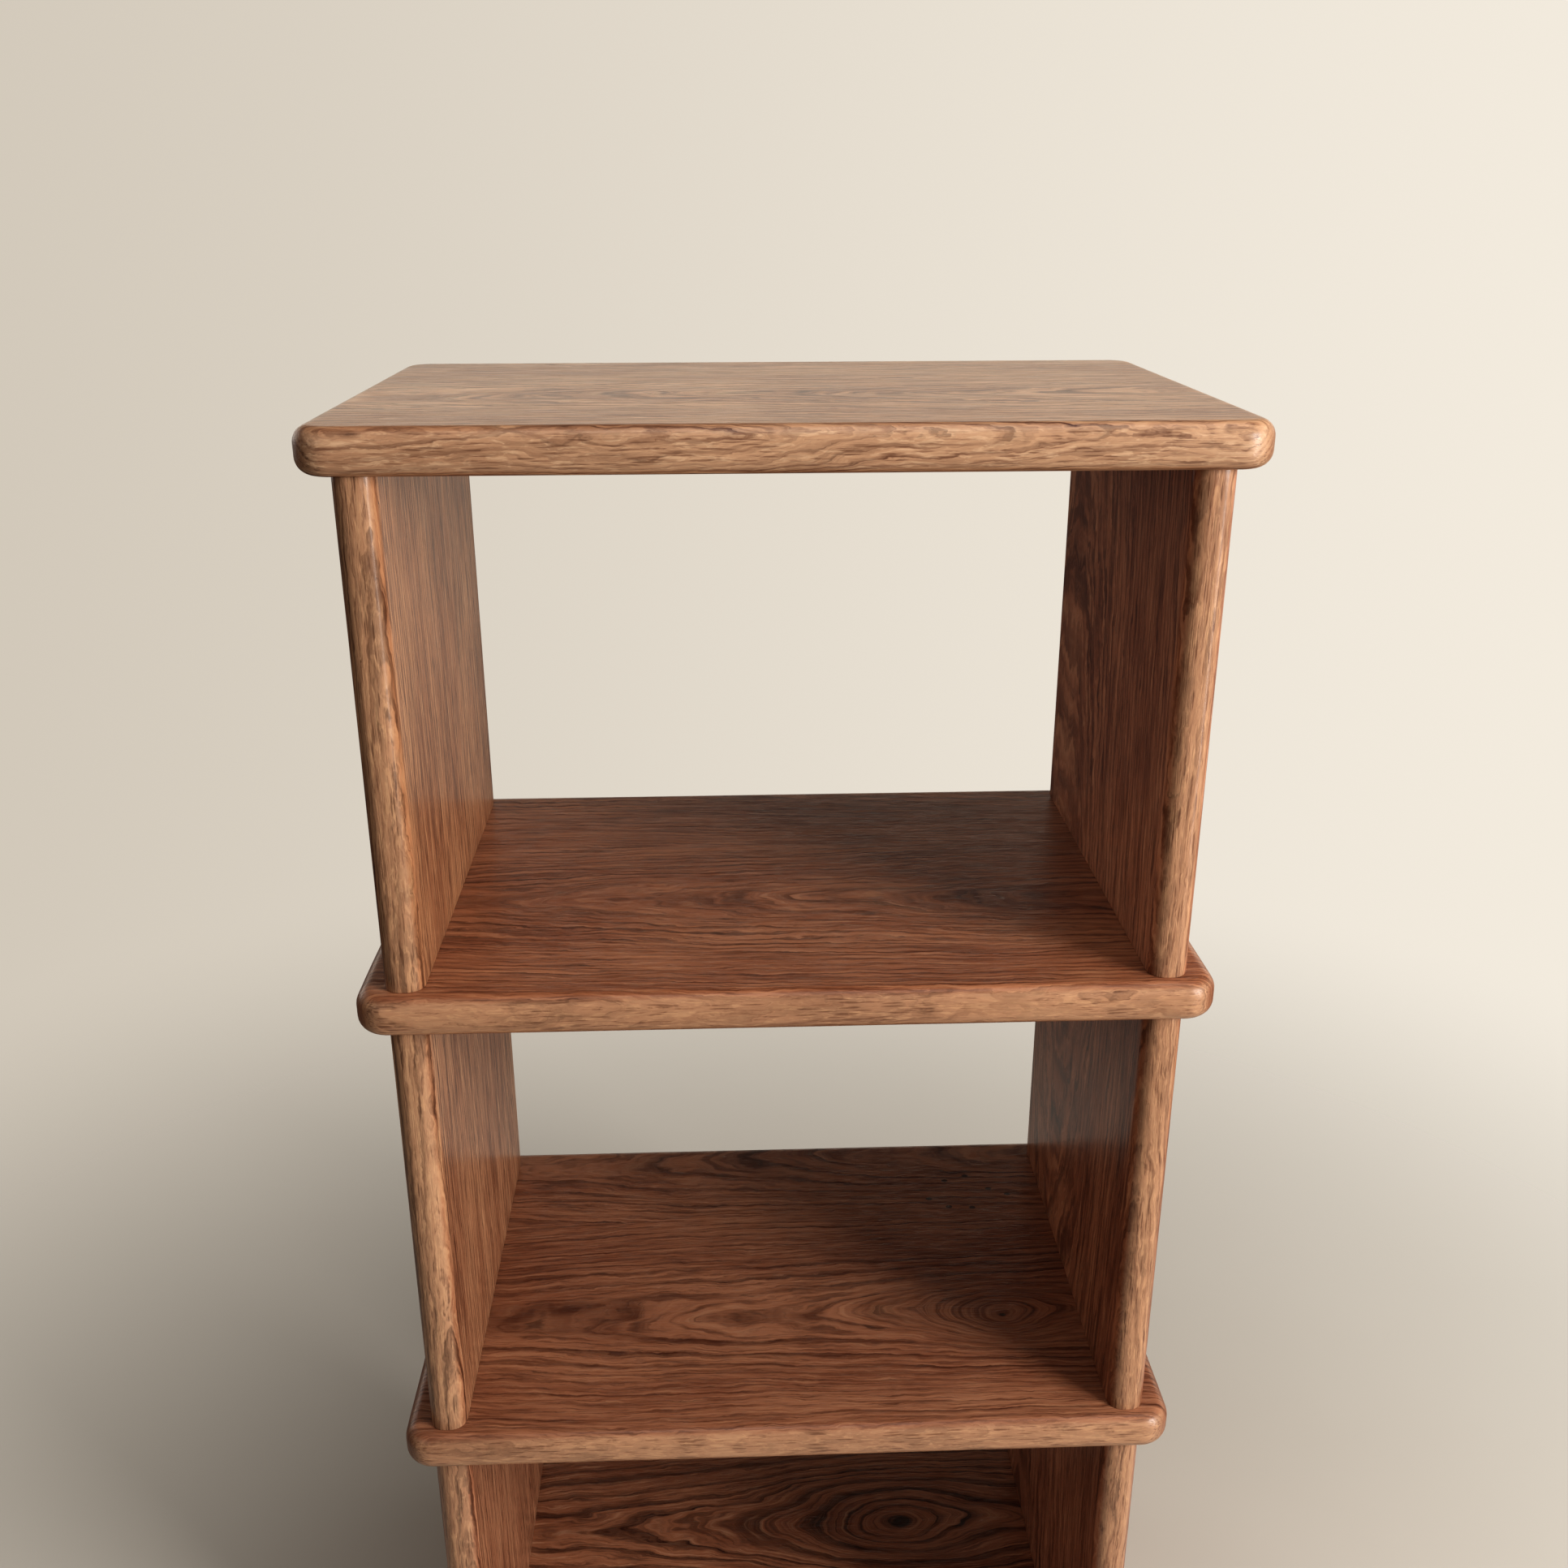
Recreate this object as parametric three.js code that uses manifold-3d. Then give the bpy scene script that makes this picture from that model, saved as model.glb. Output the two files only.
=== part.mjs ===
// Open shelf unit in solid oak. Four boards lie one above the other, each carried by a pair of
// upright side panels, and wooden dowels hold the stack together. It has no back and no doors.
//
// Millimetres, +Z up. The front faces -Y, +X is to the right as seen from the front, and the
// origin is on the floor under the middle of the base board.

import * as THREE from 'three';
import { mergeVertices } from 'three/addons/utils/BufferGeometryUtils.js';
import Module from 'manifold-3d';

// Driving dimensions.
const BOARD_WIDTH = 600;
const BOARD_DEPTH = 384;
const BOARD_THICKNESS = 30;
const BOARD_CORNER_RADIUS = 24; // in plan
const BOARD_EDGE_RADIUS = 11; // the round-over on the top and bottom edges
const CLEAR_HEIGHT = 352; // between one board and the next
const PANEL_THICKNESS = 28;
const PANEL_EDGE_RADIUS = 12;
const PANEL_END_INSET = 21; // from the end of a board to the outer face of a panel
const PANEL_SETBACK = 12; // from a board's front or back edge to a panel's
const DOWEL_RADIUS = 5;
const DOWEL_CHAMFER = 1;
const DOWEL_CLEARANCE = 0.3; // all round, inside its hole
const DOWEL_END_GAP = 1; // left for glue above a dowel
const PANEL_HOLE_DEPTH = 30;
const BOARD_HOLE_DEPTH = 18; // in the top and base boards, where the hole is blind
const DOWEL_SPACING = 120; // front to back
const DRILL_OVERSHOOT = 1; // past the face that an open hole goes through
const CORNER_SEGMENTS = 4; // an arc gets twice as many
const EDGE_SEGMENTS = 5;
const DOWEL_SIDES = 12;
const MERGE_TOLERANCE = 1e-4;

// Finish.
const PANEL_COLOR = 0x8e6146;
const DOWEL_COLOR = 0xcfa57c;
const OAK_ROUGHNESS = 0.48;
const BEECH_ROUGHNESS = 0.6;

// Worked out from them.
const LEVEL_HEIGHT = BOARD_THICKNESS + CLEAR_HEIGHT;
const PANEL_DEPTH = BOARD_DEPTH - 2 * PANEL_SETBACK;
const PANEL_X = BOARD_WIDTH / 2 - PANEL_END_INSET - PANEL_THICKNESS / 2;
const HOLE_RADIUS = DOWEL_RADIUS + DOWEL_CLEARANCE;

// From the floor up. The boards between the panels are drilled right through.
const BOARDS = [
  { name: 'base_board', joint: 'base', color: 0x6f4630 },
  { name: 'lower_shelf_board', joint: 'lower_shelf', color: 0x7a4c34 },
  { name: 'upper_shelf_board', joint: 'upper_shelf', color: 0x83533a },
  { name: 'top_board', joint: 'top', color: 0xa57c66 },
];
const LEVELS = ['lower', 'middle', 'upper'];
const SIDES = [
  { name: 'left', sign: -1 },
  { name: 'right', sign: 1 },
];
const PLACES = [
  { name: 'front', y: -DOWEL_SPACING },
  { name: 'centre', y: 0 },
  { name: 'back', y: DOWEL_SPACING },
];

const wasm = await Module();
wasm.setup();

function oak(color) {
  return new THREE.MeshStandardMaterial({ color, roughness: OAK_ROUGHNESS, metalness: 0 });
}

function beech() {
  return new THREE.MeshStandardMaterial({
    color: DOWEL_COLOR,
    roughness: BEECH_ROUGHNESS,
    metalness: 0,
  });
}

function toSolid(geometry) {
  const bare = geometry.clone();
  bare.deleteAttribute('normal');
  bare.deleteAttribute('uv');
  const merged = mergeVertices(bare, MERGE_TOLERANCE);
  const mesh = new wasm.Mesh({
    numProp: 3,
    vertProperties: new Float32Array(merged.attributes.position.array),
    triVerts: new Uint32Array(merged.index.array),
  });
  return new wasm.Manifold(mesh);
}

function toGeometry(solid) {
  const { vertProperties, triVerts } = solid.getMesh();
  const geometry = new THREE.BufferGeometry();
  geometry.setAttribute('position', new THREE.BufferAttribute(vertProperties, 3));
  geometry.setIndex(new THREE.BufferAttribute(triVerts, 1));
  geometry.computeVertexNormals();
  return geometry;
}

function drill(geometry, holes) {
  let solid = toSolid(geometry);
  for (const hole of holes) {
    solid = solid.subtract(toSolid(hole));
  }
  return toGeometry(solid);
}

// A rectangle with round corners, centred on the origin.
function roundedRectangle(width, depth, radius) {
  const x = width / 2 - radius;
  const y = depth / 2 - radius;
  const shape = new THREE.Shape();
  shape.absarc(x, y, radius, 0, Math.PI / 2);
  shape.absarc(-x, y, radius, Math.PI / 2, Math.PI);
  shape.absarc(-x, -y, radius, Math.PI, Math.PI * 1.5);
  shape.absarc(x, -y, radius, Math.PI * 1.5, Math.PI * 2);
  return shape;
}

// A drill's path, upright, from z = bottom to z = top.
function holeAt(x, y, bottom, top) {
  const height = top - bottom;
  const hole = new THREE.CylinderGeometry(HOLE_RADIUS, HOLE_RADIUS, height, DOWEL_SIDES);
  hole.rotateX(Math.PI / 2);
  hole.translate(x, y, bottom + height / 2);
  return hole;
}

// A slab on z = 0 with every edge rounded over and its corners round in plan.
function boardGeometry(holeBottom, holeTop) {
  const outline = roundedRectangle(BOARD_WIDTH, BOARD_DEPTH, BOARD_CORNER_RADIUS);
  const slab = new THREE.ExtrudeGeometry(outline, {
    depth: BOARD_THICKNESS - 2 * BOARD_EDGE_RADIUS,
    curveSegments: CORNER_SEGMENTS,
    bevelEnabled: true,
    bevelThickness: BOARD_EDGE_RADIUS,
    bevelSize: BOARD_EDGE_RADIUS,
    bevelOffset: -BOARD_EDGE_RADIUS,
    bevelSegments: EDGE_SEGMENTS,
  });
  slab.translate(0, 0, BOARD_EDGE_RADIUS);
  const holes = [];
  for (const side of SIDES) {
    for (const place of PLACES) {
      holes.push(holeAt(side.sign * PANEL_X, place.y, holeBottom, holeTop));
    }
  }
  return drill(slab, holes);
}

// An upright panel on z = 0: round front and back edges, square ends with a hole for each dowel.
function panelGeometry() {
  const outline = roundedRectangle(PANEL_THICKNESS, PANEL_DEPTH, PANEL_EDGE_RADIUS);
  const panel = new THREE.ExtrudeGeometry(outline, {
    depth: CLEAR_HEIGHT,
    curveSegments: CORNER_SEGMENTS,
    bevelEnabled: false,
  });
  const holes = [];
  for (const place of PLACES) {
    holes.push(holeAt(0, place.y, -DRILL_OVERSHOOT, PANEL_HOLE_DEPTH));
    const topHole = CLEAR_HEIGHT - PANEL_HOLE_DEPTH;
    holes.push(holeAt(0, place.y, topHole, CLEAR_HEIGHT + DRILL_OVERSHOOT));
  }
  return drill(panel, holes);
}

// A dowel on z = 0 with a small chamfer at each end.
function dowelGeometry(length) {
  const profile = [
    new THREE.Vector2(0, 0),
    new THREE.Vector2(DOWEL_RADIUS - DOWEL_CHAMFER, 0),
    new THREE.Vector2(DOWEL_RADIUS, DOWEL_CHAMFER),
    new THREE.Vector2(DOWEL_RADIUS, length - DOWEL_CHAMFER),
    new THREE.Vector2(DOWEL_RADIUS - DOWEL_CHAMFER, length),
    new THREE.Vector2(0, length),
  ];
  const dowel = new THREE.LatheGeometry(profile, DOWEL_SIDES);
  dowel.rotateX(Math.PI / 2);
  return dowel;
}

// The bottom and top of the drill's path in a board, above the board's underside.
function holeSpan(index) {
  if (index === 0) {
    return [BOARD_THICKNESS - BOARD_HOLE_DEPTH, BOARD_THICKNESS + DRILL_OVERSHOOT];
  }
  if (index === BOARDS.length - 1) {
    return [-DRILL_OVERSHOOT, BOARD_HOLE_DEPTH];
  }
  return [-DRILL_OVERSHOOT, BOARD_THICKNESS + DRILL_OVERSHOOT];
}

// The bottom and top of a dowel, above the underside of the board that it passes through or ends in.
function dowelSpan(index) {
  const bottom = index === 0 ? BOARD_THICKNESS - BOARD_HOLE_DEPTH : -PANEL_HOLE_DEPTH;
  const last = index === BOARDS.length - 1;
  const top = last ? BOARD_HOLE_DEPTH : BOARD_THICKNESS + PANEL_HOLE_DEPTH;
  return [bottom, top - DOWEL_END_GAP];
}

function addMesh(parent, name, geometry, material, x, y, z) {
  const mesh = new THREE.Mesh(geometry, material);
  mesh.name = name;
  mesh.position.set(x, y, z);
  parent.add(mesh);
}

function addBoard(parent, board, index) {
  const [holeBottom, holeTop] = holeSpan(index);
  const geometry = boardGeometry(holeBottom, holeTop);
  addMesh(parent, board.name, geometry, oak(board.color), 0, 0, index * LEVEL_HEIGHT);
}

function addPanels(parent, level, index) {
  const bottom = index * LEVEL_HEIGHT + BOARD_THICKNESS;
  for (const side of SIDES) {
    const name = `${level}_${side.name}_panel`;
    addMesh(parent, name, panelGeometry(), oak(PANEL_COLOR), side.sign * PANEL_X, 0, bottom);
  }
}

function addDowels(parent, board, index) {
  const [bottom, top] = dowelSpan(index);
  const z = index * LEVEL_HEIGHT + bottom;
  for (const side of SIDES) {
    for (const place of PLACES) {
      const name = `${board.joint}_${side.name}_${place.name}_dowel`;
      const geometry = dowelGeometry(top - bottom);
      addMesh(parent, name, geometry, beech(), side.sign * PANEL_X, place.y, z);
    }
  }
}

const shelfUnit = new THREE.Group();
BOARDS.forEach((board, index) => {
  addBoard(shelfUnit, board, index);
  addDowels(shelfUnit, board, index);
});
LEVELS.forEach((level, index) => {
  addPanels(shelfUnit, level, index);
});

export default shelfUnit;
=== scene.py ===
"""The looks of an open oak bookcase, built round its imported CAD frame.

Each board and panel is remade as a smooth piece with its dowel holes, and its edges are left
slightly uneven, as by hand sanding. All of them share one solid oak grain, cut from a different
place in the log for each piece. The dowels keep their CAD meshes and are beech. Everything is
in metres, in the CAD's frame: +Z is up and the front faces -Y.
"""

import math

import bmesh
import bpy
from mathutils import Matrix, Vector, noise


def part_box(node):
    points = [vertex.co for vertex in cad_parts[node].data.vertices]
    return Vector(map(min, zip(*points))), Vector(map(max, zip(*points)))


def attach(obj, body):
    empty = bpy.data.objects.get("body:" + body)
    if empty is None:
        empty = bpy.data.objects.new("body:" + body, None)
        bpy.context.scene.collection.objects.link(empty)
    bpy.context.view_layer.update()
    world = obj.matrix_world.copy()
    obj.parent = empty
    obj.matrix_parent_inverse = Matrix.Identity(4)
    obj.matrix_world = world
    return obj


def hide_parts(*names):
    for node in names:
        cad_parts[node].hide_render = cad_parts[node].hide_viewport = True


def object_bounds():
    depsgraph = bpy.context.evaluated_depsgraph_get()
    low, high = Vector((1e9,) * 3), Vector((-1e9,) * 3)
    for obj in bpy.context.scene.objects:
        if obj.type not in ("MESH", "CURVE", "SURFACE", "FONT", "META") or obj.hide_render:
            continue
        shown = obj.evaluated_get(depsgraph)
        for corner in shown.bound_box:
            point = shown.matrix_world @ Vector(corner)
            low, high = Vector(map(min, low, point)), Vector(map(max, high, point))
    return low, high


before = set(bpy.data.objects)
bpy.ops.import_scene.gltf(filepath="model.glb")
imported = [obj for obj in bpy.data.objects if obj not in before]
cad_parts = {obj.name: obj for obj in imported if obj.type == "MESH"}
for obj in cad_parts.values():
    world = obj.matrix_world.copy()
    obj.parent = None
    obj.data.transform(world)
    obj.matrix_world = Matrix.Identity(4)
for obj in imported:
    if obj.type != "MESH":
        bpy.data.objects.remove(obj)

CAD_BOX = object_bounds()
MM = 0.001

# The shapes that the CAD's boxes don't give.
BOARD_CORNER_RADIUS = 24 * MM
BOARD_EDGE_RADIUS = 11 * MM
PANEL_EDGE_RADIUS = 12 * MM
PANEL_END_CHAMFER = 0.9 * MM
HOLE_CLEARANCE = 0.3 * MM
HOLE_END_GAP = 1 * MM

# How finely the pieces are meshed. FLAT_MARGIN is a flat rim just inside each round-over, and
# SLIVER is how close two points have to be to count as one.
OUTLINE_PITCH = 12 * MM
CORNER_STEPS = 12
EDGE_STEPS = 10
CHAMFER_STEPS = 3
HOLE_STEPS = 32
FLAT_MARGIN = 1.5 * MM
SHARP_ANGLE = math.radians(30)
SLIVER = 0.001 * MM

# How deep sanding has gone in along the edges, and how long its shallow dips are.
SANDING_DEPTH = 0.7 * MM
SANDING_SIZE = 45 * MM

# The eye: its place from the unit's middle, front edge and top, then its turn, and its lens
# in millimetres.
CAMERA_SIDE = -0.0389
CAMERA_AHEAD = 0.9253
CAMERA_ABOVE = 0.1271
CAMERA_YAW = math.radians(2.15)
CAMERA_PITCH = math.radians(20.98)
CAMERA_ROLL = math.radians(0.115)
CAMERA_LENS = 35.2
CAMERA_SENSOR = 36.0

# The floor thins out between these distances from the unit's middle.
FLOOR_FADE_START = 0.3
FLOOR_FADE_END = 1.9
FLOOR_HALF_WIDTH = 1.05 * FLOOR_FADE_END
FLOOR_SHADE = (0.62, 0.57, 0.50, 1)
FLOOR_PALE = (0.70, 0.66, 0.59, 1)

# The room that lights the wood, and the backdrop that the camera sees in its place.
ROOM_LEFT = (0.060, 0.052, 0.045, 1)
ROOM_RIGHT = (0.20, 0.185, 0.17, 1)
ROOM_BEHIND = (0.040, 0.036, 0.033, 1)
ROOM_HORIZON = (1.50, 1.34, 1.12, 1)
BACKDROP_LEFT = (0.52, 0.47, 0.40, 1)
BACKDROP_RIGHT = (0.78, 0.73, 0.65, 1)

BOARDS = ["base_board", "lower_shelf_board", "upper_shelf_board", "top_board"]
LEVELS = ["lower", "middle", "upper"]
PANELS = [f"{level}_{side}_panel" for level in LEVELS for side in ("left", "right")]
DOWELS = [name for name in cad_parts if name.endswith("_dowel")]


# ---------------------------------------------------------------------------------------
# Meshes
# ---------------------------------------------------------------------------------------

def add_object(name, data):
    """Puts a new object in the scene."""
    made = bpy.data.objects.new(name, data)
    bpy.context.scene.collection.objects.link(made)
    return made


def mesh_object(name, bm):
    """Turns a finished bmesh into an object."""
    bmesh.ops.recalc_face_normals(bm, faces=bm.faces)
    mesh = bpy.data.meshes.new(name)
    bm.to_mesh(mesh)
    bm.free()
    return add_object(name, mesh)


def skin(bm, loops):
    """Joins loops of vertices, from the lowest up, and closes both ends with flat faces."""
    for lower, upper in zip(loops, loops[1:]):
        for index, vert in enumerate(lower):
            after = (index + 1) % len(lower)
            bm.faces.new((vert, lower[after], upper[after], upper[index]))
    bm.faces.new(list(reversed(loops[0])))
    bm.faces.new(loops[-1])


def rounded_outline(half_x, half_y, radius, inset):
    """A rectangle with round corners, pulled in by inset: a list of (point, outward normal).

    The number of points depends on the outline before it is pulled in, so that outlines
    with different insets can be joined point to point.
    """
    points = []
    runs = [2 * (half_y - radius), 2 * (half_x - radius)]
    corners = [(1, 1), (-1, 1), (-1, -1), (1, -1)]
    for index, (sign_x, sign_y) in enumerate(corners):
        centre = Vector((sign_x * (half_x - radius), sign_y * (half_y - radius)))
        for step in range(CORNER_STEPS + 1):
            angle = (index + step / CORNER_STEPS) * math.pi / 2
            normal = Vector((math.cos(angle), math.sin(angle)))
            points.append((centre + normal * (radius - inset), normal))
        next_x, next_y = corners[(index + 1) % 4]
        next_centre = Vector((next_x * (half_x - radius), next_y * (half_y - radius)))
        run = runs[(index + 1) % 2]
        pieces = max(1, round(run / OUTLINE_PITCH))
        for step in range(1, pieces):
            middle = centre.lerp(next_centre, step / pieces)
            points.append((middle + normal * (radius - inset), normal))
    return points


def arc_rings(height, radius, start, end, steps):
    """Rings along an arc, from one slope to another: a list of (height, inset, softness)."""
    rings = []
    for step in range(steps + 1):
        angle = start + (end - start) * step / steps
        softness = math.cos(angle)
        rings.append((height + radius * math.sin(angle), radius * (1 - math.cos(angle)), softness))
    return rings


def unevenness(place, seed):
    """How far sanding has gone in at a place, from 0 to 1: long dips with shorter ones on them."""
    spot = place / SANDING_SIZE + Vector((seed * 7.3, seed * 3.1, 0))
    return 0.5 + 0.5 * max(-1.0, min(1.0, noise.noise(spot) + 0.4 * noise.noise(spot * 2.7)))


def loft(node, radius, rings, give, seed):
    """A closed oak piece as wide and deep as the node, through rings of (height, inset, softness).

    give(normal) says how much an edge facing that way follows the unevenness of sanding.
    """
    low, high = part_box(node)
    centre = (low + high) / 2
    half_x = (high.x - low.x) / 2
    half_y = (high.y - low.y) / 2
    bm = bmesh.new()
    loops = []
    for height, inset, softness in rings:
        loop = []
        for point, normal in rounded_outline(half_x, half_y, radius, inset):
            place = Vector((centre.x + point.x, centre.y + point.y, height))
            dip = SANDING_DEPTH * softness * give(normal) * unevenness(place, seed)
            place -= Vector((normal.x, normal.y, 0)) * dip
            loop.append(bm.verts.new(place))
        loops.append(loop)
    skin(bm, loops)
    return mesh_object(node + "_oak", bm)


def cylinder(bm, centre, radius, bottom, top):
    """Adds a closed upright cylinder to a bmesh."""
    loops = []
    for height in (bottom, top):
        loop = []
        for step in range(HOLE_STEPS):
            angle = 2 * math.pi * step / HOLE_STEPS
            rim = Vector((math.cos(angle), math.sin(angle), 0)) * radius
            loop.append(bm.verts.new((centre.x + rim.x, centre.y + rim.y, height)))
        loops.append(loop)
    skin(bm, loops)


def drill(piece, node):
    """Cuts the hole of each dowel that reaches into the node's box."""
    low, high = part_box(node)
    bm = bmesh.new()
    for dowel in DOWELS:
        bottom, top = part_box(dowel)
        centre = (bottom + top) / 2
        beside = low.x < centre.x < high.x
        if beside and bottom.z < high.z - MM and top.z > low.z + MM:
            radius = (top.y - bottom.y) / 2 + HOLE_CLEARANCE
            cylinder(bm, centre, radius, bottom.z, top.z + HOLE_END_GAP)
    cutter = mesh_object("drill_path", bm)
    cut = piece.modifiers.new("holes", "BOOLEAN")
    cut.operation = "DIFFERENCE"
    cut.solver = "EXACT"
    cut.object = cutter
    apply_modifiers(piece)
    bpy.data.objects.remove(cutter)
    split_caps(piece)


def apply_modifiers(piece):
    """Makes a piece's modifiers part of its mesh."""
    graph = bpy.context.evaluated_depsgraph_get()
    mesh = bpy.data.meshes.new_from_object(piece.evaluated_get(graph))
    piece.modifiers.clear()
    piece.data = mesh


def split_caps(piece):
    """Turns the drilled end faces into plain triangles, with none of them a sliver."""
    bm = bmesh.new()
    bm.from_mesh(piece.data)
    bmesh.ops.remove_doubles(bm, verts=bm.verts, dist=SLIVER)
    bmesh.ops.triangulate(bm, faces=[face for face in bm.faces if len(face.verts) > 4])
    bmesh.ops.dissolve_degenerate(bm, edges=bm.edges, dist=SLIVER)
    bm.to_mesh(piece.data)
    bm.free()


def smooth(piece):
    """Smooth shading, with the edges of the holes left sharp."""
    piece.data.shade_smooth()
    piece.data.set_sharp_from_angle(angle=SHARP_ANGLE)


def all_round(normal):
    """Every edge of a board is sanded alike."""
    return 1


def front_and_back(normal):
    """A panel is sanded along its front and back edges, and its broad faces stay flat."""
    return abs(normal.y)


def make_board(node, seed):
    """A board with a round-over along every edge and round corners."""
    low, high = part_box(node)
    radius = BOARD_EDGE_RADIUS
    flat = radius + FLAT_MARGIN
    rings = [(low.z, flat, 0)]
    rings += arc_rings(low.z + radius, radius, -math.pi / 2, 0, EDGE_STEPS)
    rings += arc_rings(high.z - radius, radius, 0, math.pi / 2, EDGE_STEPS)
    rings += [(high.z, flat, 0)]
    return loft(node, BOARD_CORNER_RADIUS, rings, all_round, seed)


def make_panel(node, seed):
    """An upright panel: round front and back edges, and ends eased by a fine chamfer."""
    low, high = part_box(node)
    steps = round((high.z - low.z) / OUTLINE_PITCH)
    radius = PANEL_END_CHAMFER
    bottom = low.z + radius
    top = high.z - radius
    rings = [(low.z, 2 * radius, 0)]
    rings += arc_rings(bottom, radius, -math.pi / 2, 0, CHAMFER_STEPS)
    rings += [(bottom + (top - bottom) * step / steps, 0, 1) for step in range(1, steps)]
    rings += arc_rings(top, radius, 0, math.pi / 2, CHAMFER_STEPS)
    rings += [(high.z, 2 * radius, 0)]
    return loft(node, PANEL_EDGE_RADIUS, rings, front_and_back, seed)


# ---------------------------------------------------------------------------------------
# Shader nodes
# ---------------------------------------------------------------------------------------

class Graph:
    """Adds nodes to a tree, one call for each, and joins them."""

    def __init__(self, tree):
        self.tree = tree

    def node(self, kind, **settings):
        made = self.tree.nodes.new(kind)
        for key, value in settings.items():
            setattr(made, key, value)
        return made

    def put(self, socket, value):
        """Joins another node's output to a socket, or sets the socket to a plain value."""
        if isinstance(value, bpy.types.NodeSocket):
            self.tree.links.new(value, socket)
        else:
            socket.default_value = value

    def math(self, operation, *values, clamp=False):
        made = self.node("ShaderNodeMath", operation=operation, use_clamp=clamp)
        for socket, value in zip(made.inputs, values):
            self.put(socket, value)
        return made.outputs[0]

    def add(self, a, b):
        return self.math("ADD", a, b)

    def times(self, a, b):
        return self.math("MULTIPLY", a, b)

    def minus(self, a, b):
        return self.math("SUBTRACT", a, b)

    def length(self, a, b):
        return self.math("SQRT", self.add(self.times(a, a), self.times(b, b)))

    def swing(self, value, amount):
        """Turns noise from 0 to 1 into a swing about 0 that is amount wide in all."""
        return self.times(self.minus(value, 0.5), amount)

    def between(self, factor, a, b):
        """a where factor is 0 and b where it is 1."""
        made = self.node("ShaderNodeMix", data_type="FLOAT")
        for socket, value in zip(made.inputs, (factor, None, a, b)):
            if value is not None:
                self.put(socket, value)
        return made.outputs[0]

    def vector(self, operation, a, b):
        made = self.node("ShaderNodeVectorMath", operation=operation)
        self.put(made.inputs[0], a)
        self.put(made.inputs[1], b)
        return made.outputs[0]

    def split(self, value):
        made = self.node("ShaderNodeSeparateXYZ")
        self.put(made.inputs[0], value)
        return made.outputs

    def join(self, x, y, z):
        made = self.node("ShaderNodeCombineXYZ")
        for socket, value in zip(made.inputs, (x, y, z)):
            self.put(socket, value)
        return made.outputs[0]

    def noise(self, place, stretch, detail=2.0, rough=0.5, swirl=0.0):
        """Noise from 0 to 1, with stretch as its cycles per unit along each axis."""
        made = self.node("ShaderNodeTexNoise", noise_dimensions="3D")
        self.put(made.inputs["Vector"], self.vector("MULTIPLY", place, stretch))
        made.inputs["Scale"].default_value = 1.0
        made.inputs["Detail"].default_value = detail
        made.inputs["Roughness"].default_value = rough
        made.inputs["Distortion"].default_value = swirl
        return made.outputs

    def cells(self, place, stretch, dimensions):
        """Cells round scattered points, with stretch as their number per unit along each axis."""
        made = self.node("ShaderNodeTexVoronoi", voronoi_dimensions=dimensions, feature="F1")
        self.put(made.inputs["Vector"], self.vector("MULTIPLY", place, stretch))
        made.inputs["Scale"].default_value = 1.0
        return made.outputs

    def ease(self, value, start, end, low=0.0, high=1.0):
        """Goes smoothly from low, where value is start, to high, where it is end."""
        made = self.node("ShaderNodeMapRange", interpolation_type="SMOOTHSTEP")
        self.put(made.inputs["Value"], value)
        self.put(made.inputs["From Min"], start)
        self.put(made.inputs["From Max"], end)
        self.put(made.inputs["To Min"], low)
        self.put(made.inputs["To Max"], high)
        return made.outputs["Result"]

    def blend(self, factor, a, b):
        """Colour a where factor is 0 and colour b where it is 1."""
        made = self.node("ShaderNodeMix", data_type="RGBA", blend_type="MIX")
        self.put(made.inputs[0], factor)
        self.put(made.inputs[6], a)
        self.put(made.inputs[7], b)
        return made.outputs[2]


def new_material(name):
    """A material, a graph for its nodes, and its shader."""
    material = bpy.data.materials.new(name)
    material.use_nodes = True
    tree = material.node_tree
    return material, Graph(tree), tree.nodes["Principled BSDF"]


def add_bump(g, shader, height, strength, depth):
    bump = g.node("ShaderNodeBump")
    bump.inputs["Strength"].default_value = strength
    bump.inputs["Distance"].default_value = depth
    g.put(bump.inputs["Height"], height)
    g.put(shader.inputs["Normal"], bump.outputs["Normal"])


# ---------------------------------------------------------------------------------------
# Oak
# ---------------------------------------------------------------------------------------

GRAIN_NUMBERS = [
    "Pith Y", "Pith Z", "Joint Y", "Next Pith Y", "Next Pith Z", "Taper", "Ring", "Warp", "Seed",
    "Lines", "Streaks", "Stripes", "Knot X", "Knot Y", "Knot Size", "Knot Pull",
    "Pin X", "Pin Y", "Pin Size",
]
# The last colour is painted shade or painted light for a plank's broad faces, with a little of its own
# tone.
GRAIN_COLOURS = ["Pale", "Light", "Mid", "Dark", "Tint"]

# How often each pattern repeats, in cycles or cells per millimetre: along the grain, across
# the broad face and through the plank.
BROAD_SWAY = (0.0032, 0.0090, 0.0090)
MIDDLING_SWAY = (0.012, 0.032, 0.032)
FINE_WAVER = (0.050, 0.13, 0.13)
LINE_FADE = (0.007, 0.030, 0.030)
TONE = (0.0050, 0.018, 0.018)
RAY = (0.075, 0.34, 0.34)
DASH = (0.040, 0.58, 0.58)
PIN_KNOT = (0.050, 0.070, 0.0)
RUB = (0.045, 1.25, 1.25)

# The same for patterns that follow the rings: along the grain, from the pith outwards, and from
# seed to seed. The drift of the rings is alike all along the grain, so it starts at the second.
STREAK = (0.016, 0.55, 1.0)
PORE = (0.045, 1.30, 1.0)
STRIPE = (0.0055, 0.30, 1.0)
RING_DRIFT = (0.030, 1.0, 1.0)

# Where in the noise a plank is cut: how far one unit of its seed moves it, as a solid and in
# the patterns that follow the rings, and what its second stave adds to the seed.
SEED_STRIDE = (371.0, 173.0, 97.0)
RUN_STRIDE = 11.0
STAVE_SEED = 5.7

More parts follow.
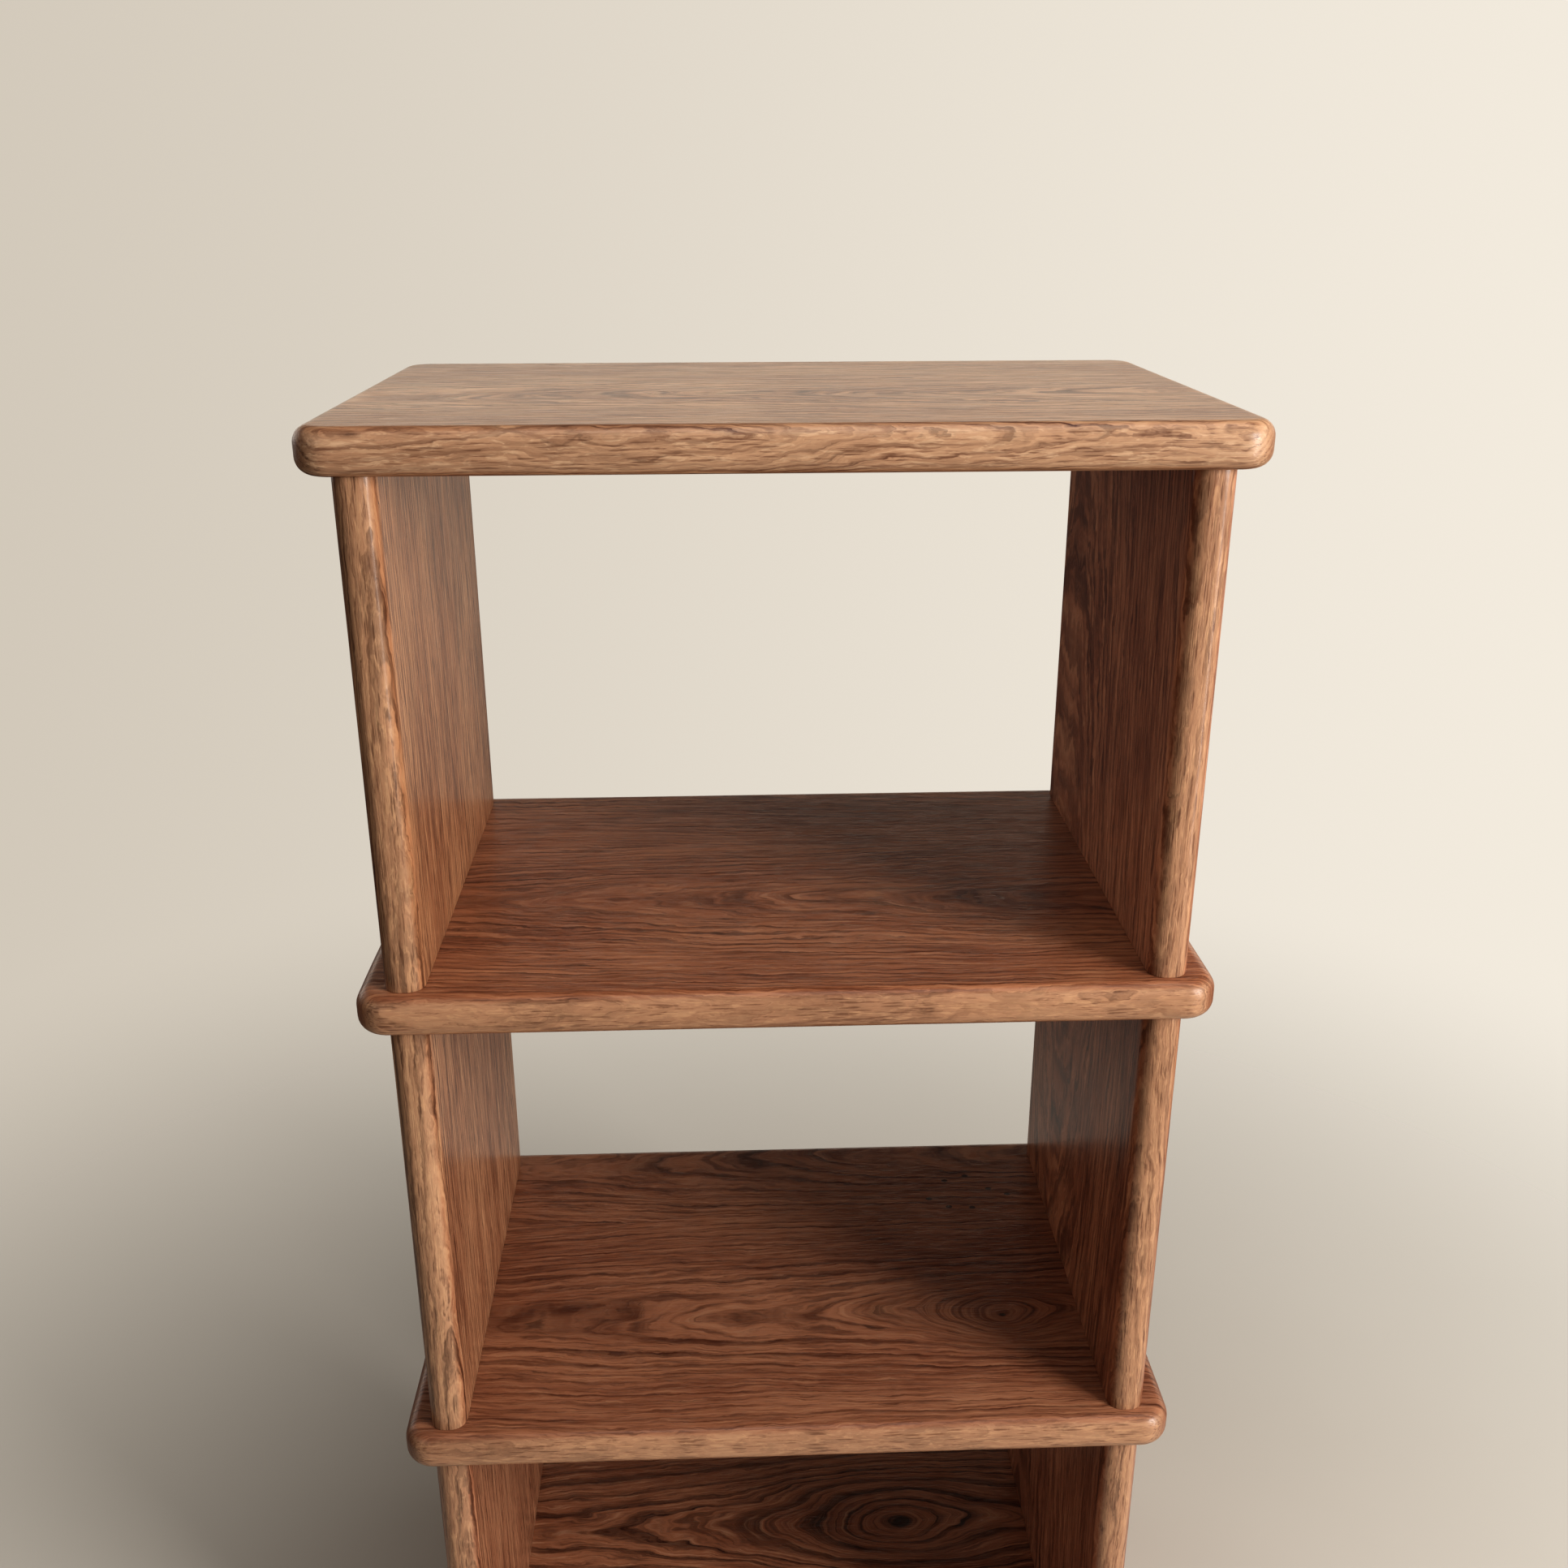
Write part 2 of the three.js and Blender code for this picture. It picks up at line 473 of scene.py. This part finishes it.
# How a knot's width compares with its length along the grain, and how far its outline sways.
KNOT_OVAL = 0.72
KNOT_SWAY = 40.0

# The long edges' paler tan is partly the edge grain's own colour and partly painted light for the
# window light on the front edges.
EDGE_GRAIN_AND_PAINTED_LIGHT = (0.52, 0.325, 0.198, 1)
BARE_PORE = (0.040, 0.012, 0.006, 1)
BARK = (0.020, 0.008, 0.005, 1)
END_GRAIN = (0.15, 0.055, 0.026, 1)
UNTINTED = (1.0, 1.0, 1.0, 1)


def ring_radius(g, given, x, y, z, stave, spot, broad, middling):
    """The distance from the pith, swaying with the trunk and wavering more finely.

    The finest waver is wider on the flanks, where the rings run steeply through the plank.
    """
    warp = given["Warp"]
    waver = g.times(warp, 0.42)
    across = g.minus(y, g.between(stave, given["Pith Y"], given["Next Pith Y"]))
    across = g.add(across, g.swing(broad[0], warp))
    across = g.add(across, g.swing(middling[0], waver))
    through = g.minus(z, g.between(stave, given["Pith Z"], given["Next Pith Z"]))
    through = g.minus(through, g.times(given["Taper"], x))
    through = g.add(through, g.swing(broad[1], warp))
    through = g.add(through, g.swing(middling[1], waver))
    fine = g.noise(spot, FINE_WAVER, detail=3.0, rough=0.55)["Fac"]
    flank = g.ease(g.math("ABSOLUTE", across), 0.0, 50.0, 1.2, 4.8)
    return g.add(g.length(across, through), g.swing(fine, flank))


def knot(g, given, x, y, sway):
    """How far a knot pulls the rings round itself, which closes them into ovals, and its heart."""
    pull = given["Knot Pull"]
    along = g.times(g.minus(x, given["Knot X"]), KNOT_OVAL)
    across = g.minus(y, given["Knot Y"])
    away = g.add(g.length(along, across), g.swing(sway, KNOT_SWAY))
    away = g.math("DIVIDE", g.math("MAXIMUM", away, 0.0), given["Knot Size"])
    swell = g.math("EXPONENT", g.times(g.math("POWER", away, 1.3), -1.0))
    heart = g.times(g.ease(away, 0.11, 0.05), g.math("GREATER_THAN", pull, 0.0))
    return g.times(swell, pull), heart


def ring_lines(g, given, radius, start, spot, pore):
    """The dark line of open earlywood pores in each ring, which fades into smooth latewood.

    The first result is the even line, and the second is the line as it shows, stronger in some
    rings than in others and broken up by the pores.
    """
    drift = g.noise(g.join(radius, start, 0.0), RING_DRIFT, detail=1.0)["Fac"]
    phase = g.add(g.math("DIVIDE", radius, given["Ring"]), g.times(drift, 3.0))
    index = g.math("FLOOR", phase)
    part = g.minus(phase, index)
    chance = g.node("ShaderNodeTexWhiteNoise", noise_dimensions="1D")
    g.put(chance.inputs["W"], g.add(index, given["Seed"]))
    strength = g.add(g.times(chance.outputs["Value"], 0.70), 0.30)
    band = g.math("MAXIMUM", g.ease(part, 0.40, 0.04), g.ease(part, 0.93, 1.0))
    fade = g.noise(spot, LINE_FADE, detail=1.0)["Fac"]
    line = g.times(g.times(band, strength), g.ease(fade, 0.30, 0.58, 0.45, 1.0))
    line = g.times(line, g.ease(pore, 0.70, 0.36, 0.45, 1.25))
    return band, line


def pin_knots(g, given, x, y, spot):
    """A few small dark specks, close together."""
    along = g.minus(x, given["Pin X"])
    across = g.times(g.minus(y, given["Pin Y"]), 1.8)
    cell = g.cells(spot, PIN_KNOT, "2D")
    chance = g.split(cell["Color"])[0]
    speck = g.ease(cell["Distance"], 0.19, 0.11)
    speck = g.times(speck, g.math("GREATER_THAN", chance, 0.72))
    return g.times(speck, g.math("LESS_THAN", g.length(along, across), given["Pin Size"]))


def edge_dashes(g, spot, sway, streak):
    """Short dark dashes, where the edge of a plank cuts across its rays and pores."""
    swing = g.swing(sway, 5.0)
    dash = g.cells(g.vector("ADD", spot, g.join(0.0, swing, swing)), DASH, "3D")
    return g.times(g.ease(dash["Distance"], 0.40, 0.27), g.ease(streak, 0.60, 0.42, 0.25, 1.0))


def grain_group():
    """Oak as a solid: growth rings round a pith, pores, fibre, rays and end grain.

    Place and Facing are in the plank's own axes: x along the grain, y across the broad face
    and z through it, in millimetres from the plank's middle. A plank can be drawn as two
    staves, which meet at Joint Y, and each stave has its own pith.
    """
    tree = bpy.data.node_groups.new("oak_grain", "ShaderNodeTree")
    face = tree.interface
    for name in ("Place", "Facing"):
        face.new_socket(name, in_out="INPUT", socket_type="NodeSocketVector")
    for name in GRAIN_NUMBERS:
        face.new_socket(name, in_out="INPUT", socket_type="NodeSocketFloat")
    for name in GRAIN_COLOURS:
        face.new_socket(name, in_out="INPUT", socket_type="NodeSocketColor")
    face.new_socket("Colour", in_out="OUTPUT", socket_type="NodeSocketColor")
    for name in ("Roughness", "Height"):
        face.new_socket(name, in_out="OUTPUT", socket_type="NodeSocketFloat")

    g = Graph(tree)
    given = g.node("NodeGroupInput").outputs
    x, y, z = g.split(given["Place"])
    stave = g.math("GREATER_THAN", y, given["Joint Y"])
    start = g.add(given["Seed"], g.times(stave, STAVE_SEED))
    spot = g.vector("ADD", given["Place"], g.join(*[g.times(start, stride) for stride in SEED_STRIDE]))
    broad = g.split(g.noise(spot, BROAD_SWAY, detail=1.0)["Color"])
    middling = g.split(g.noise(spot, MIDDLING_SWAY, detail=2.0)["Color"])
    radius = ring_radius(g, given, x, y, z, stave, spot, broad, middling)
    pull, heart = knot(g, given, x, y, broad[2])
    radius = g.minus(radius, pull)

    # Fibre and open pores run along the rings, so they are drawn by radius.
    run = g.join(x, radius, g.times(start, RUN_STRIDE))
    streak = g.noise(run, STREAK, detail=3.0, rough=0.66)["Fac"]
    pore = g.noise(run, PORE, detail=2.0, rough=0.6)["Fac"]
    stripe = g.noise(run, STRIPE, detail=2.0, rough=0.55)["Fac"]
    band, line = ring_lines(g, given, radius, start, spot, pore)

    # Which part of the plank shows: any edge, an end that cuts across the grain, or a long side.
    facing = g.split(given["Facing"])
    edge = g.ease(g.math("ABSOLUTE", facing[2]), 0.92, 0.55)
    end = g.ease(g.math("ABSOLUTE", facing[0]), 0.45, 0.85)
    side = g.times(edge, g.minus(1.0, end))

    # Rays show as pale flecks and dark dashes, mostly on the long sides. The marks that follow
    # the rings are weaker on every edge.
    ray = g.noise(spot, RAY, detail=3.0, rough=0.6, swirl=0.7)["Fac"]
    ray = g.times(g.ease(ray, 0.50, 0.66), g.add(g.times(side, 0.75), 0.12))
    dash = g.times(edge_dashes(g, spot, middling[0], streak), side)
    line = g.times(line, g.between(edge, 1.0, 0.65))
    streaks = g.times(given["Streaks"], g.between(edge, 1.0, 0.85))
    pores = g.times(g.ease(pore, 0.52, 0.68), g.add(g.times(band, 0.5), 0.35))
    pores = g.times(pores, g.between(edge, 1.0, 0.60))
    bark = g.math("MAXIMUM", heart, pin_knots(g, given, x, y, spot))

    # Each layer of colour goes over the one before, as strongly as its number says.
    tone = g.noise(spot, TONE, detail=1.0)["Fac"]
    dark_streak = g.times(g.ease(streak, 0.54, 0.34), g.times(streaks, 0.60))
    pale_streak = g.times(g.ease(streak, 0.52, 0.68), g.times(streaks, 0.45))
    colour = g.blend(g.ease(tone, 0.32, 0.68), given["Mid"], given["Light"])
    colour = g.blend(dark_streak, colour, given["Dark"])
    colour = g.blend(pale_streak, colour, given["Pale"])
    colour = g.blend(g.times(g.ease(stripe, 0.60, 0.70), given["Stripes"]), colour, given["Dark"])
    # The long edges turn a paler tan: partly edge grain, partly painted light on the front edges.
    colour = g.blend(g.times(side, 0.45), colour, EDGE_GRAIN_AND_PAINTED_LIGHT)
    colour = g.blend(g.times(ray, 0.55), colour, given["Pale"])
    colour = g.blend(g.times(dash, 0.52), colour, given["Dark"])
    colour = g.blend(g.math("MULTIPLY", line, given["Lines"], clamp=True), colour, given["Dark"])
    colour = g.blend(g.times(pores, 0.75), colour, BARE_PORE)
    colour = g.blend(g.times(bark, 0.90), colour, BARK)
    colour = g.blend(g.times(end, 0.45), colour, END_GRAIN)
    # Painted shade and painted light go on a plank's broad faces here, with a little of its own tone:
    # its last colour darkens the planks that sit in shade and lightens the brighter ones.
    painted_light_and_tone = g.blend(g.times(side, 0.80), given["Tint"], UNTINTED)

    rub = g.noise(spot, RUB, detail=2.0)["Fac"]
    out = g.node("NodeGroupOutput").inputs
    g.put(out["Colour"], g.vector("MULTIPLY", colour, painted_light_and_tone))
    g.put(out["Roughness"], g.add(g.times(rub, 0.18), g.add(g.times(end, 0.10), 0.25)))
    g.put(out["Height"], g.add(g.times(g.ease(rub, 0.50, 0.68), -0.10), g.times(middling[0], 0.50)))
    return tree


def oak(name, group, centre, upright, gloss, coat, look):
    """An oak material for one plank, from its place in the log and its tone.

    The grain runs along X in a board and along Z in an upright panel.
    """
    material, g, shader = new_material(name)
    where = g.node("ShaderNodeTexCoord").outputs["Object"]
    where = g.vector("MULTIPLY", g.vector("SUBTRACT", where, tuple(centre)), (1 / MM, 1 / MM, 1 / MM))
    normal = g.node("ShaderNodeNewGeometry").outputs["Normal"]
    if upright:
        where_x, where_y, where_z = g.split(where)
        normal_x, normal_y, normal_z = g.split(normal)
        where = g.join(where_z, where_y, where_x)
        normal = g.join(normal_z, normal_y, normal_x)
    grain = g.node("ShaderNodeGroup", node_tree=group)
    g.put(grain.inputs["Place"], where)
    g.put(grain.inputs["Facing"], normal)
    for key, value in look.items():
        g.put(grain.inputs[key], value)
    g.put(shader.inputs["Base Color"], grain.outputs["Colour"])
    g.put(shader.inputs["Roughness"], grain.outputs["Roughness"])
    add_bump(g, shader, grain.outputs["Height"], 1.0, MM)
    shader.inputs["IOR"].default_value = 1.45
    shader.inputs["Specular IOR Level"].default_value = gloss
    shader.inputs["Coat Weight"].default_value = coat
    shader.inputs["Coat Roughness"].default_value = 0.20
    return material


# ---------------------------------------------------------------------------------------
# The planks' looks
# ---------------------------------------------------------------------------------------

# How glossy the wood itself is, and how much of a wax coat lies on it.
PANEL_GLOSS = (0.22, 0.32)
BOARD_GLOSS = {
    "base_board": (0.36, 0.12),
    "lower_shelf_board": (0.36, 0.16),
    "upper_shelf_board": (0.36, 0.16),
    "top_board": (0.42, 0.12),
}

# What every plank starts from. Lengths are in millimetres, in the plank's own axes. Pith is
# the middle of the log's rings, Next Pith is that of the second stave, Taper is how steeply
# the pith slopes through the plank, Ring is the width of a ring, Warp is how far the rings
# sway, and Pin is a patch of pin knots. Lines, Streaks and Stripes say how strongly those
# marks show.
OAK = {
    "Pale": (0.68, 0.40, 0.225, 1),
    "Light": (0.50, 0.243, 0.130, 1),
    "Mid": (0.375, 0.162, 0.084, 1),
    "Dark": (0.085, 0.021, 0.0085, 1),
    "Tint": UNTINTED,
    "Joint Y": 400.0,
    "Next Pith Y": 0.0,
    "Next Pith Z": 0.0,
    "Taper": 0.05,
    "Ring": 5.5,
    "Warp": 22.0,
    "Lines": 0.80,
    "Streaks": 1.0,
    "Stripes": 0.0,
    "Knot X": 0.0,
    "Knot Y": 0.0,
    "Knot Size": 40.0,
    "Knot Pull": 0.0,
    "Pin X": 0.0,
    "Pin Y": 0.0,
    "Pin Size": 0.0,
}
LEFT_PANEL = {
    "Dark": (0.055, 0.014, 0.006, 1), "Taper": 0.02, "Ring": 4.2, "Warp": 14.0,
    "Lines": 1.0, "Streaks": 1.3, "Stripes": 0.4,
}
RIGHT_PANEL = {"Ring": 5.0, "Warp": 14.0, "Streaks": 1.3, "Stripes": 0.8}
LOOKS = {
    "top_board": {
        "Pith Y": -40, "Pith Z": -90, "Seed": 1.3, "Ring": 4.2, "Lines": 1.0, "Streaks": 1.1,
        "Joint Y": 70, "Next Pith Y": 260, "Next Pith Z": -120, "Stripes": 0.25,
        # The top board's paler colours are partly its own tone and partly painted sheen and light from
        # above, in place of some of its gloss.
        "Pale": (0.80, 0.54, 0.35, 1), "Light": (0.60, 0.345, 0.21, 1),
        "Mid": (0.46, 0.235, 0.135, 1), "Tint": (1.0, 0.94, 0.86, 1),
    },
    "upper_shelf_board": {
        "Pith Y": -40, "Pith Z": -45, "Seed": 2.7, "Ring": 5.6,
        "Joint Y": 66, "Next Pith Y": 240, "Next Pith Z": -110,
        # The darker tint is painted shade on the upper shelf, which lies under the top board.
        "Tint": (0.97, 0.85, 0.80, 1),
    },
    "lower_shelf_board": {
        "Pith Y": -58, "Pith Z": -34, "Seed": 4.1, "Ring": 7.2,
        "Knot X": 186, "Knot Y": -66, "Knot Size": 32, "Knot Pull": 24,
        "Joint Y": 72, "Next Pith Y": 170, "Next Pith Z": -60,
        # The darker tint is painted shade on the lower shelf, deep inside the unit.
        "Pin X": 170, "Pin Y": 112, "Pin Size": 62, "Tint": (0.84, 0.76, 0.76, 1),
    },
    "base_board": {
        "Pith Y": 78, "Pith Z": -40, "Seed": 5.9, "Ring": 12.0, "Lines": 1.0, "Warp": 34,
        "Knot X": 125, "Knot Y": 78, "Knot Size": 75, "Knot Pull": 55,
        # The base board's darker colours are painted shade: a darker copy of the oak for the lowest
        # plank, which lies in deeper shade.
        "Light": (0.43, 0.185, 0.090, 1), "Mid": (0.31, 0.118, 0.055, 1),
        "Dark": (0.045, 0.012, 0.005, 1), "Tint": (0.96, 0.94, 1.0, 1),
    },
    "upper_left_panel": {
        **LEFT_PANEL, "Pith Y": 600, "Pith Z": -500, "Seed": 7.2, "Stripes": 0.5,
        "Tint": (1.0, 0.97, 0.90, 1),
    },
    "upper_right_panel": {
        **RIGHT_PANEL, "Pith Y": 120, "Pith Z": 260, "Seed": 8.8, "Taper": 0.06,
        # The lighter tint is painted light on this panel's inner face.
        "Tint": (1.14, 1.04, 1.08, 1),
    },
    "middle_left_panel": {
        **LEFT_PANEL, "Pith Y": 560, "Pith Z": -480, "Seed": 9.4,
    },
    "middle_right_panel": {
        **RIGHT_PANEL, "Pith Y": 60, "Pith Z": 200, "Seed": 11.6, "Taper": -0.06,
        # The darker tint is painted shade on this inner face, which faces away from the window.
        "Tint": (0.88, 0.75, 0.73, 1),
    },
    "lower_left_panel": {
        **LEFT_PANEL, "Pith Y": 640, "Pith Z": -520, "Seed": 12.5,
        # The darker tint is painted shade, low in the unit.
        "Tint": (0.94, 0.89, 0.92, 1),
    },
    "lower_right_panel": {
        **RIGHT_PANEL, "Pith Y": 100, "Pith Z": 240, "Seed": 14.3,
        # The darker tint is painted shade on this inner face, low and away from the window.
        "Tint": (0.78, 0.67, 0.70, 1),
    },
}

BEECH_SHADE = (0.56, 0.34, 0.19, 1)
BEECH_PALE = (0.66, 0.43, 0.26, 1)
BEECH_FLECK = (0.36, 0.19, 0.10, 1)


def beech():
    """Plain pale beech with fine short flecks, for the dowels inside the joints."""
    material, g, shader = new_material("beech")
    where = g.node("ShaderNodeTexCoord").outputs["Object"]
    fleck = g.noise(where, (2200, 2200, 260), detail=2.0)["Fac"]
    tone = g.noise(where, (180, 180, 25), detail=2.0)["Fac"]
    colour = g.blend(tone, BEECH_SHADE, BEECH_PALE)
    colour = g.blend(g.ease(fleck, 0.58, 0.70, 0.0, 0.5), colour, BEECH_FLECK)
    g.put(shader.inputs["Base Color"], colour)
    g.put(shader.inputs["Roughness"], g.ease(fleck, 0.3, 0.7, 0.55, 0.68))
    add_bump(g, shader, fleck, 0.4, 0.1 * MM)
    return material


# ---------------------------------------------------------------------------------------
# Pieces
# ---------------------------------------------------------------------------------------

def build_unit():
    """Remakes the boards and panels in oak, and gives the dowels their wood."""
    group = grain_group()
    for node in BOARDS + PANELS:
        upright = node in PANELS
        look = {**OAK, **LOOKS[node]}
        make = make_panel if upright else make_board
        piece = make(node, look["Seed"])
        drill(piece, node)
        smooth(piece)
        low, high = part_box(node)
        gloss, coat = PANEL_GLOSS if upright else BOARD_GLOSS[node]
        material = oak(node + "_grain", group, (low + high) / 2, upright, gloss, coat, look)
        piece.data.materials.clear()
        piece.data.materials.append(material)
        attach(piece, "root")
        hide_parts(node)
    dowel_wood = beech()
    for name in DOWELS:
        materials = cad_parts[name].data.materials
        materials.clear()
        materials.append(dowel_wood)


# ---------------------------------------------------------------------------------------
# Floor, light and camera
# ---------------------------------------------------------------------------------------

def make_floor():
    """A pale floor that thins out into the backdrop's colour, so that no horizon shows."""
    mesh = bpy.data.meshes.new("floor")
    half = FLOOR_HALF_WIDTH
    corners = [(-half, -half, 0), (half, -half, 0), (half, half, 0), (-half, half, 0)]
    mesh.from_pydata(corners, [], [(0, 1, 2, 3)])
    floor = add_object("floor", mesh)
    material, g, shader = new_material("floor_paint")
    where = g.node("ShaderNodeTexCoord").outputs["Object"]
    cloud = g.noise(where, (1.6, 1.6, 1.6), detail=4.0)["Fac"]
    g.put(shader.inputs["Base Color"], g.blend(cloud, FLOOR_SHADE, FLOOR_PALE))
    shader.inputs["Roughness"].default_value = 0.85
    distance = g.node("ShaderNodeVectorMath", operation="LENGTH")
    g.put(distance.inputs[0], where)
    fade = g.ease(distance.outputs["Value"], FLOOR_FADE_START, FLOOR_FADE_END, 1.0, 0.0)
    g.put(shader.inputs["Alpha"], fade)
    mesh.materials.append(material)


def area_light(name, place, aim_height, size, power, colour):
    """A rectangular light that points at the unit's middle line, at a height above the floor."""
    data = bpy.data.lights.new(name, "AREA")
    data.shape = "RECTANGLE"
    data.size, data.size_y = size
    data.energy = power
    data.color = colour
    light = add_object(name, data)
    light.location = place
    towards = Vector((0, 0, aim_height)) - Vector(place)
    light.rotation_euler = towards.to_track_quat("-Z", "Y").to_euler()


def light_room():
    """The world: a backdrop for the camera, and a room for the wood to be lit by and to mirror.

    The room is dim, a little brighter on the right, with a pale band low down behind the unit.
    """
    world = bpy.data.worlds.new("room")
    bpy.context.scene.world = world
    world.use_nodes = True
    g = Graph(world.node_tree)
    background = world.node_tree.nodes["Background"]
    towards_x, towards_y, towards_z = g.split(g.node("ShaderNodeTexCoord").outputs["Generated"])
    right = g.ease(towards_x, -0.8, 0.8)
    room = g.blend(right, ROOM_LEFT, ROOM_RIGHT)
    room = g.blend(g.ease(towards_y, -0.2, 0.5), room, ROOM_BEHIND)
    below = g.times(g.ease(towards_z, -0.50, -0.20), g.ease(towards_x, 0.05, 0.30, 0.0, 0.4))
    band = g.math("MAXIMUM", g.ease(towards_z, -0.02, 0.04), below)
    band = g.times(band, g.ease(towards_z, 0.25, 0.12))
    band = g.times(band, g.ease(towards_y, 0.2, 0.7))
    room = g.blend(band, room, ROOM_HORIZON)
    backdrop = g.blend(right, BACKDROP_LEFT, BACKDROP_RIGHT)
    seen = g.node("ShaderNodeLightPath").outputs["Is Camera Ray"]
    g.put(background.inputs["Color"], g.blend(seen, room, backdrop))
    background.inputs["Strength"].default_value = 1.0


def light_scene():
    """Window light from the front right, and weaker light from above, the left and behind."""
    light_room()
    top = CAD_BOX[1][2]
    middle = top * 0.7
    area_light("window", (1.95, -1.60, 1.60), middle, (0.9, 1.3), 62, (1.0, 0.97, 0.93))
    area_light("low_window", (2.05, -1.60, 0.50), 0.9, (0.40, 1.0), 9, (1.0, 0.97, 0.94))
    area_light("ceiling", (0.3, -0.3, 2.9), top, (1.6, 1.2), 13, (1.0, 0.98, 0.95))
    area_light("room_fill", (-1.8, -1.8, 2.2), middle, (1.6, 1.6), 5, (1.0, 0.94, 0.88))
    area_light("back_fill", (-2.3, 1.7, 1.5), middle, (1.4, 1.4), 6, (1.0, 0.97, 0.94))


def make_camera():
    """The eye of the photo: a little left of the middle, above the top and looking down."""
    low, high = CAD_BOX
    middle_x = (low[0] + high[0]) / 2
    place = Vector((middle_x + CAMERA_SIDE, low[1] - CAMERA_AHEAD, high[2] + CAMERA_ABOVE))
    yaw = CAMERA_YAW
    pitch = CAMERA_PITCH
    ahead = Vector((math.sin(yaw) * math.cos(pitch), math.cos(yaw) * math.cos(pitch), -math.sin(pitch)))
    level = Vector((math.cos(yaw), -math.sin(yaw), 0))
    down = ahead.cross(level)
    right = level * math.cos(CAMERA_ROLL) + down * math.sin(CAMERA_ROLL)
    up = ahead.cross(right) * -1
    data = bpy.data.cameras.new("eye")
    data.lens = CAMERA_LENS
    data.sensor_width = CAMERA_SENSOR
    data.sensor_fit = "HORIZONTAL"
    camera = add_object("eye", data)
    turn = Matrix((right, up, -ahead)).transposed()
    camera.matrix_world = Matrix.Translation(place) @ turn.to_4x4()
    bpy.context.scene.camera = camera


bpy.context.scene.view_settings.view_transform = "Standard"
bpy.context.scene.view_settings.look = "Medium High Contrast"
make_camera()
build_unit()
make_floor()
light_scene()
